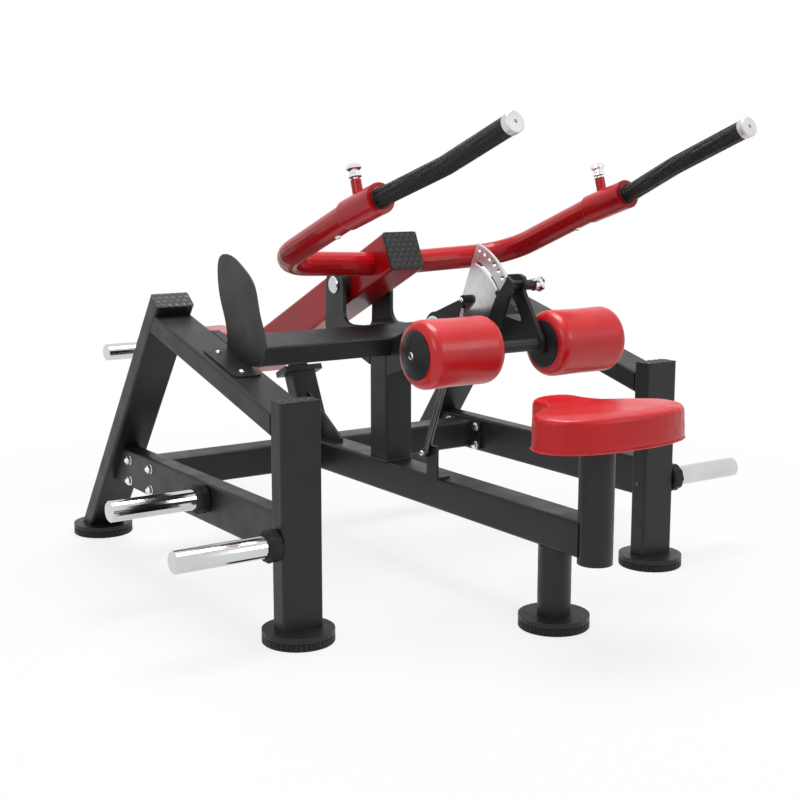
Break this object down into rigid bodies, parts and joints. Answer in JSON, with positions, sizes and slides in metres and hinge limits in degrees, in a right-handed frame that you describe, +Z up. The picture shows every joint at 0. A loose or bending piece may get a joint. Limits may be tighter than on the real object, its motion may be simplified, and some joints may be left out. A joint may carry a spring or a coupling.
{
  "type": "dip machine",
  "caption": "Plate-loaded seated dip machine: tubular frame, saddle seat, pivoting lever with turning grips, and thigh rollers on a pin-set arm with a gas strut",
  "frame": {"origin": "on the floor, in the middle of the machine's footprint, on its plane of symmetry", "axes": "+Z up, +Y from the seat towards the weight horns, +X to the right of someone who stands behind the seat and looks along +Y"},
  "size_m": [1.6466, 1.975, 1.1301],
  "materials": {
    "frame": "satin black powder coat",
    "lever": "glossy candy red paint",
    "chrome": "polished chrome plate",
    "aluminium": "turned and brushed",
    "cap": "black, moulded scale pattern",
    "rubber": "black, matt",
    "grip": "black, coarse grain",
    "vinyl": "glossy red vinyl over foam"
  },
  "bodies": {
    "frame": {"left_front_post": "frame", "right_front_post": "frame", "left_lower_beam": "frame", "right_lower_beam": "frame", "left_sloping_beam": "frame", "right_sloping_beam": "frame", "left_rear_leg": "frame", "right_rear_leg": "frame", "left_post_cap": "cap", "right_post_cap": "cap", "left_leg_cap": "cap", "right_leg_cap": "cap", "left_front_foot": "rubber", "right_front_foot": "rubber", "left_rear_foot": "rubber", "right_rear_foot": "rubber", "centre_foot": "rubber", "lower_crossbar": "frame", "upper_crossbar": "frame", "column": "frame", "thigh_bracket": "frame", "centre_beam": "frame", "front_foot_tube": "frame", "seat_post": "frame", "seat_cushion": "vinyl", "stop_post": "frame", "stop_buffer": "rubber", "lever_bracket": "frame", "left_front_horn": "chrome", "right_front_horn": "chrome", "left_side_horn": "chrome", "right_side_horn": "chrome", "placard": "frame", "sector_plate": "chrome", "strut_bracket": "frame"},
    "lever": {"lever_arm": "lever", "lever_front_cap": "cap", "lever_rear_cap": "cap", "left_yoke_arm": "lever", "right_yoke_arm": "lever", "left_rear_horn": "chrome", "right_rear_horn": "chrome", "lever_pivot_pin": "chrome"},
    "left_grip": {"left_grip_bar": "aluminium", "left_grip_sleeve": "grip", "left_grip_cap": "aluminium"},
    "right_grip": {"right_grip_bar": "aluminium", "right_grip_sleeve": "grip", "right_grip_cap": "aluminium"},
    "left_pull_pin": {"left_grip_pin": "chrome"},
    "right_pull_pin": {"right_grip_pin": "chrome"},
    "thigh_arm": {"thigh_arm": "frame", "left_hub": "frame", "thigh_shaft": "chrome", "roller_axle": "frame"},
    "left_roller": {"left_roller": "vinyl"},
    "right_roller": {"right_roller": "vinyl"},
    "thigh_pull_pin": {"thigh_pin": "chrome"},
    "strut_cylinder": {"strut_cylinder": "frame"},
    "strut_rod": {"strut_rod": "chrome"}
  },
  "joints": [
    {"name": "lever_hinge", "type": "hinge", "parent": "frame", "child": "lever", "pos_m": [0, 0.088, 0.7185], "axis": [1, 0, 0], "range_deg": [0, 35]},
    {"name": "left_grip_turn", "type": "hinge", "parent": "lever", "child": "left_grip", "pos_m": [-0.352, -0.5521, 0.96], "axis": [0, -0.9553, 0.2957], "range_deg": [0, 180]},
    {"name": "right_grip_turn", "type": "hinge", "parent": "lever", "child": "right_grip", "pos_m": [0.352, -0.5521, 0.96], "axis": [0, 0.9553, -0.2957], "range_deg": [0, 180]},
    {"name": "left_grip_pin_pull", "type": "slide", "parent": "lever", "child": "left_pull_pin", "axis": [0, 0.2957, 0.9553], "range_m": [0, 0.011], "stiffness_N_per_m": 600, "springref_m": -0.01},
    {"name": "right_grip_pin_pull", "type": "slide", "parent": "lever", "child": "right_pull_pin", "axis": [0, 0.2957, 0.9553], "range_m": [0, 0.011], "stiffness_N_per_m": 600, "springref_m": -0.01},
    {"name": "thigh_arm_hinge", "type": "hinge", "parent": "frame", "child": "thigh_arm", "pos_m": [0, -0.334, 0.639], "axis": [-1, 0, 0], "range_deg": [0, 36.7]},
    {"name": "left_roller_spin", "type": "hinge", "parent": "thigh_arm", "child": "left_roller", "pos_m": [-0.179, -0.5737, 0.621], "axis": [1, 0, 0], "continuous": true},
    {"name": "right_roller_spin", "type": "hinge", "parent": "thigh_arm", "child": "right_roller", "pos_m": [0.179, -0.5737, 0.621], "axis": [1, 0, 0], "continuous": true},
    {"name": "thigh_pin_pull", "type": "slide", "parent": "thigh_arm", "child": "thigh_pull_pin", "axis": [1, 0, 0], "range_m": [0, 0.012], "stiffness_N_per_m": 600, "springref_m": -0.01},
    {"name": "strut_swing", "type": "hinge", "parent": "frame", "child": "strut_cylinder", "pos_m": [-0.066, -0.314, 0.337], "axis": [-1, 0, 0], "range_deg": [0, 12.2]},
    {"name": "strut_stroke", "type": "slide", "parent": "strut_cylinder", "child": "strut_rod", "axis": [0, -0.3768, 0.9263], "range_m": [0, 0.0417]}
  ],
  "couplings": [
    {"joint": "strut_swing", "follows": "thigh_arm_hinge", "ratio": 0.33},
    {"joint": "strut_stroke", "follows": "thigh_arm_hinge", "m_per_rad": 0.0648}
  ]
}
